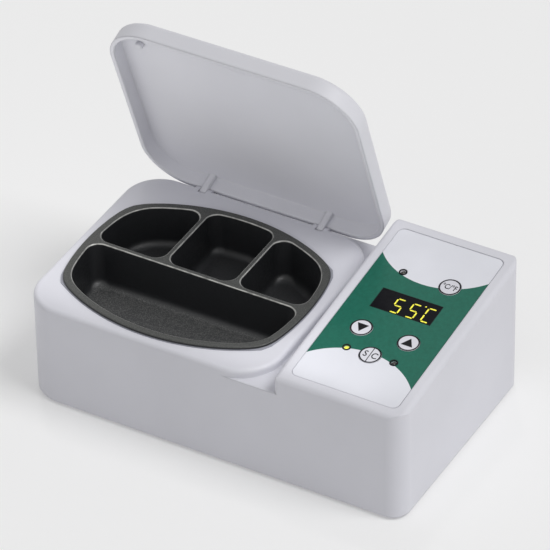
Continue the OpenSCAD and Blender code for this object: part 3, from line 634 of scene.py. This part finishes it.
# Key caps with a printed hoop, as profiles of radius and height above the panel
CAP_TOP = 0.1
CAP_PROFILE = [
    (0, -3.0), (2.4, -3.0), (2.4, -1.0), (6.1, -1.0), (6.2, -0.9), (6.2, -0.15), (6.1, 0.0),
    (5.45, 0.0), (5.4, 0.02), (5.2, CAP_TOP - 0.03), (4.8, CAP_TOP), (2.5, CAP_TOP + 0.02),
    (0, CAP_TOP + 0.03),
]
HOOP_PROFILE = [(5.42, 0.0), (5.42, 0.05), (5.5, 0.09), (6.1, 0.09), (6.18, 0.05), (6.18, -0.02),
                (5.42, 0.0)]
for name, place in KEYS.items():
    node = f"key_{name}"
    piece(f"{node}_cap", *lathe(CAP_PROFILE), CAP, node, on_panel(*place), smooth=50.0, stands_for=[node])
    piece(f"{node}_ring", *lathe(HOOP_PROFILE), INK, node, on_panel(*place), smooth=50.0)

# Signs on the caps
INK_LOW, INK_HIGH = CAP_TOP - 0.04, CAP_TOP + 0.07
SIGNS = {
    "down_arrow": [(-3.5, 2.6), (0.0, -3.4), (3.5, 2.6)],
    "up_arrow": [(-3.5, -2.6), (3.5, -2.6), (0.0, 3.4)],
    "set_bar": [(-0.22, -5.35), (0.22, -5.35), (0.22, 5.35), (-0.22, 5.35)],
}
for sign, outline in SIGNS.items():
    key = sign.split("_")[0]
    piece(f"key_{sign}", *slab(outline, INK_LOW, INK_HIGH), INK, f"key_{key}", on_panel(*KEYS[key]))


def lettering(name, text, key, size, squeeze, out=0.0):
    """Flat letters set on a key cap, moved out from its middle, as a mesh."""
    curve = bpy.data.curves.new(name, "FONT")
    curve.body = text
    curve.size = size
    curve.align_x = "CENTER"
    curve.align_y = "CENTER"
    curve.extrude = (INK_HIGH - INK_LOW) / 2
    curve.offset = 0.05
    curve.resolution_u = 6
    temp = placed(name + "_curve", curve)
    bpy.context.view_layer.update()
    data = bpy.data.meshes.new_from_object(temp.evaluated_get(bpy.context.evaluated_depsgraph_get()))
    bpy.data.objects.remove(temp)
    co = np.array([v.co for v in data.vertices])
    mid = (co.min(0) + co.max(0)) / 2
    verts = [((a - mid[0]) * squeeze, b - mid[1], c + (INK_LOW + INK_HIGH) / 2) for a, b, c in co]
    faces = [tuple(p.vertices) for p in data.polygons]
    bpy.data.meshes.remove(data)
    x, s = KEYS[key]
    piece(name, verts, faces, INK, f"key_{key}", on_panel(x + out, s), smooth=30.0)


DEGREE = chr(176)
lettering("key_unit_letters", f"{DEGREE}C/{DEGREE}F", "unit", size=5.4, squeeze=0.74)
lettering("key_set_letter_s", "S", "set", size=6.2, squeeze=0.85, out=-2.7)
lettering("key_set_letter_c", "C", "set", size=6.2, squeeze=0.85, out=2.7)

# Bezels round the indicators
BEZEL_FOOT = LABEL_TOP - 0.02
BEZEL_PROFILE = [(1.62, BEZEL_FOOT), (1.62, 0.12), (1.8, 0.24), (2.15, 0.24), (2.42, 0.06),
                 (2.46, BEZEL_FOOT), (1.62, BEZEL_FOOT)]
for name, place in LEDS.items():
    piece(f"lamp_{name}_bezel", *lathe(BEZEL_PROFILE), INK, "base", on_panel(*place), smooth=40.0)

# The display's digits as (digit, x, s), its decimal point as (x, s, radius), and its thin frame
DIGITS = [("5", 76.2, 78.3), ("5", 85.8, 78.3), ("C", 95.0, 78.6)]
SEGMENTS = {"5": "acdfg", "C": "adef"}
SEG_H, SEG_W, SEG_T = 5.4, 4.6, 0.85
SEG_GAP_TALL, SEG_GAP_WIDE, SEG_TIP, SLANT = 0.45, 0.3, 0.3, 0.02
POINT_X, POINT_S, POINT_R = 90.6, 84.2, 0.45
LIT_LOW, LIT_HIGH = LABEL_TOP - 0.02, LABEL_TOP + 0.03
FRAME_X, FRAME_S, FRAME_W, FRAME_H, FRAME_T = 62.0, 71.8, 37.4, 16.4, 0.35
FRAME_LOW, FRAME_HIGH = LABEL_TOP - 0.05, LABEL_TOP + 0.02


def segment_bars(digit, x, s):
    """The lit bars of one display digit, leaning right."""
    w, h, t = SEG_W / 2, SEG_H / 2, SEG_T / 2
    places = {"a": (0, SEG_H), "g": (0, 0), "d": (0, -SEG_H), "f": (-w, h), "e": (-w, -h), "c": (w, -h)}
    parts = []
    for key in SEGMENTS[digit]:
        px, py = places[key]
        upright = px != 0
        half = h - SEG_GAP_TALL if upright else w - SEG_GAP_WIDE
        tip = t * SEG_TIP
        bar = [(-half, -tip), (-half + t, -t), (half - t, -t), (half, -tip),
               (half, tip), (half - t, t), (-half + t, t), (-half, tip)]
        if upright:
            bar = [(-b, a) for a, b in bar]
        bar = [(x + px + a + SLANT * (py + b), s + py + b) for a, b in bar]
        parts.append(slab(bar, LIT_LOW, LIT_HIGH))
    return parts


def strip(x, s, wide, high):
    """One side of the display's frame."""
    corners = [(x, s), (x + wide, s), (x + wide, s + high), (x, s + high)]
    return slab(corners, FRAME_LOW, FRAME_HIGH)


bars = [bar for digit in DIGITS for bar in segment_bars(*digit)]
bars.append(slab(oval(POINT_X, POINT_S, POINT_R, POINT_R, 16), LIT_LOW, LIT_HIGH))
piece("display_digits", *joined(bars), GLOW, "base", PANEL)
strips = [
    strip(FRAME_X, FRAME_S, FRAME_W, FRAME_T),
    strip(FRAME_X, FRAME_S + FRAME_H - FRAME_T, FRAME_W, FRAME_T),
    strip(FRAME_X, FRAME_S, FRAME_T, FRAME_H),
    strip(FRAME_X + FRAME_W - FRAME_T, FRAME_S, FRAME_T, FRAME_H),
]
piece("display_frame", *joined(strips), INK, "base", PANEL)

# Marks on the mains switch, at (x, z) on its outer face
SWITCH_X, ON_Z, OFF_Z = 40.0, 34.4, 25.8
MARK_PROUD, MARK_SUNK = 0.06, 0.1
CAST_FROM_Y = 120.0
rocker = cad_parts["rocker"]
rocker_points = [rocker.matrix_world @ v.co for v in rocker.data.vertices]
rocker_faces = BVHTree.FromPolygons(rocker_points, [tuple(p.vertices) for p in rocker.data.polygons])


def on_rocker(points, lift):
    """Points (x, z) cast on the rocker's outer face from behind and lifted off it."""
    found = []
    for x, z in points:
        hit = rocker_faces.ray_cast(Vector((x, CAST_FROM_Y, z)) * MM, Vector((0.0, -1.0, 0.0)))[0]
        found.append((x, hit.y / MM + lift, z))
    return found


def mark(outer, inner):
    """Verts and faces of a thin mark between two loops of as many points each."""
    n = len(outer)
    verts = on_rocker(outer + inner, MARK_PROUD) + on_rocker(outer + inner, -MARK_SUNK)
    faces = []
    for k in range(n):
        m = (k + 1) % n
        faces.append((k, m, n + m, n + k))
        faces.append((2 * n + k, 3 * n + k, 3 * n + m, 2 * n + m))
        faces.append((k, 2 * n + k, 2 * n + m, m))
        faces.append((n + k, n + m, 3 * n + m, 3 * n + k))
    return verts, faces


on_mark = mark(oval(SWITCH_X, ON_Z, 0.42, 1.9), oval(SWITCH_X, ON_Z, 0.05, 0.3))
off_mark = mark(oval(SWITCH_X, OFF_Z, 1.7, 1.7), oval(SWITCH_X, OFF_Z, 1.1, 1.1))
piece("rocker_marks", *joined([on_mark, off_mark]), MARK, "rocker")


# Floor, light and camera
def shader(tree, kind, **inputs):
    """A new node with its inputs set by name."""
    made = tree.nodes.new(kind)
    for key, value in inputs.items():
        made.inputs[key].default_value = value
    return made


def mixed(tree, first, second):
    """A shader mix of two nodes; its first input is the second's share."""
    made = tree.nodes.new("ShaderNodeMixShader")
    tree.links.new(first.outputs[0], made.inputs[1])
    tree.links.new(second.outputs[0], made.inputs[2])
    return made


def backdrop_ray(tree):
    """1 where the camera, a reflection or a clear pane looks at the backdrop."""
    light_path = tree.nodes.new("ShaderNodeLightPath")
    most = light_path.outputs["Is Camera Ray"]
    for key in ("Is Glossy Ray", "Is Transmission Ray"):
        larger = tree.nodes.new("ShaderNodeMath")
        larger.operation = "MAXIMUM"
        tree.links.new(most, larger.inputs[0])
        tree.links.new(light_path.outputs[key], larger.inputs[1])
        most = larger.outputs[0]
    return most


PALE = srgb(234, 234, 234)
WHITE = (1.0, 1.0, 1.0, 1.0)
PAPER = (0.98, 0.98, 0.98, 1.0)
WORLD_LIGHT = 0.40
FLOOR_GLOW = 0.3
FLOOR_REACH = 6

world = bpy.data.worlds.new("studio")
bpy.context.scene.world = world
world.use_nodes = True
tree = world.node_tree
tree.nodes.clear()
seen = shader(tree, "ShaderNodeBackground", Color=PALE)
lit = shader(tree, "ShaderNodeBackground", Color=WHITE, Strength=WORLD_LIGHT)
both = mixed(tree, lit, seen)
tree.links.new(backdrop_ray(tree), both.inputs[0])
tree.links.new(both.outputs[0], tree.nodes.new("ShaderNodeOutputWorld").inputs["Surface"])

# The floor is matte paper that also glows a little, so that it stays pale and keeps the shadow
paper = bpy.data.materials.new("floor_paper")
paper.use_nodes = True
tree = paper.node_tree
tree.nodes.clear()
matte = shader(tree, "ShaderNodeBsdfDiffuse", Color=PAPER)
both = mixed(tree, matte, shader(tree, "ShaderNodeEmission", Color=PALE))
both.inputs[0].default_value = FLOOR_GLOW
tree.links.new(both.outputs[0], tree.nodes.new("ShaderNodeOutputMaterial").inputs["Surface"])
corners = [(FLOOR_REACH * x, FLOOR_REACH * y, 0) for x, y in ((-1, -1), (1, -1), (1, 1), (-1, 1))]
floor_data = bpy.data.meshes.new("floor")
floor_data.from_pydata(corners, [], [(0, 1, 2, 3)])
floor_data.materials.append(paper)
floor = placed("floor", floor_data)


def sun(name, strength, angle, towards):
    """A sun that stands towards a direction, as wide as an angle in degrees."""
    data = bpy.data.lights.new(name, "SUN")
    data.energy = strength
    data.angle = math.radians(angle)
    obj = placed(name, data)
    obj.rotation_mode = "QUATERNION"
    obj.rotation_quaternion = Vector(towards).to_track_quat("Z", "Y")


sun("main_light", strength=1.52, angle=30.0, towards=(0.56, 0.04, 0.83))
sun("glint_light", strength=0.12, angle=5.0, towards=(-0.25, 0.35, 0.9))

# A wide card of light above the front edge, turned towards the open lid
card_data = bpy.data.lights.new("lid_card", "AREA")
card_data.shape = "RECTANGLE"
card_data.size = 0.32
card_data.size_y = 0.09
card_data.energy = 0.075
card = placed("lid_card", card_data)
card.location = (-0.06, -0.068, 0.13)
card.rotation_euler = (math.radians(84.0), 0.0, 0.0)
card.visible_camera = False
card.visible_glossy = False

camera_data = bpy.data.cameras.new("camera")
camera_data.sensor_width = SENSOR
camera_data.lens = FOCAL_PX / PICTURE_PX * SENSOR
camera_data.clip_start = 0.1
camera_data.clip_end = 60.0
camera = placed("camera", camera_data)
camera.matrix_world = Matrix.Translation(CAMERA_PLACE) @ Matrix(CAMERA_AXES).transposed().to_4x4()
bpy.context.scene.camera = camera
bpy.context.scene.view_settings.view_transform = "Standard"
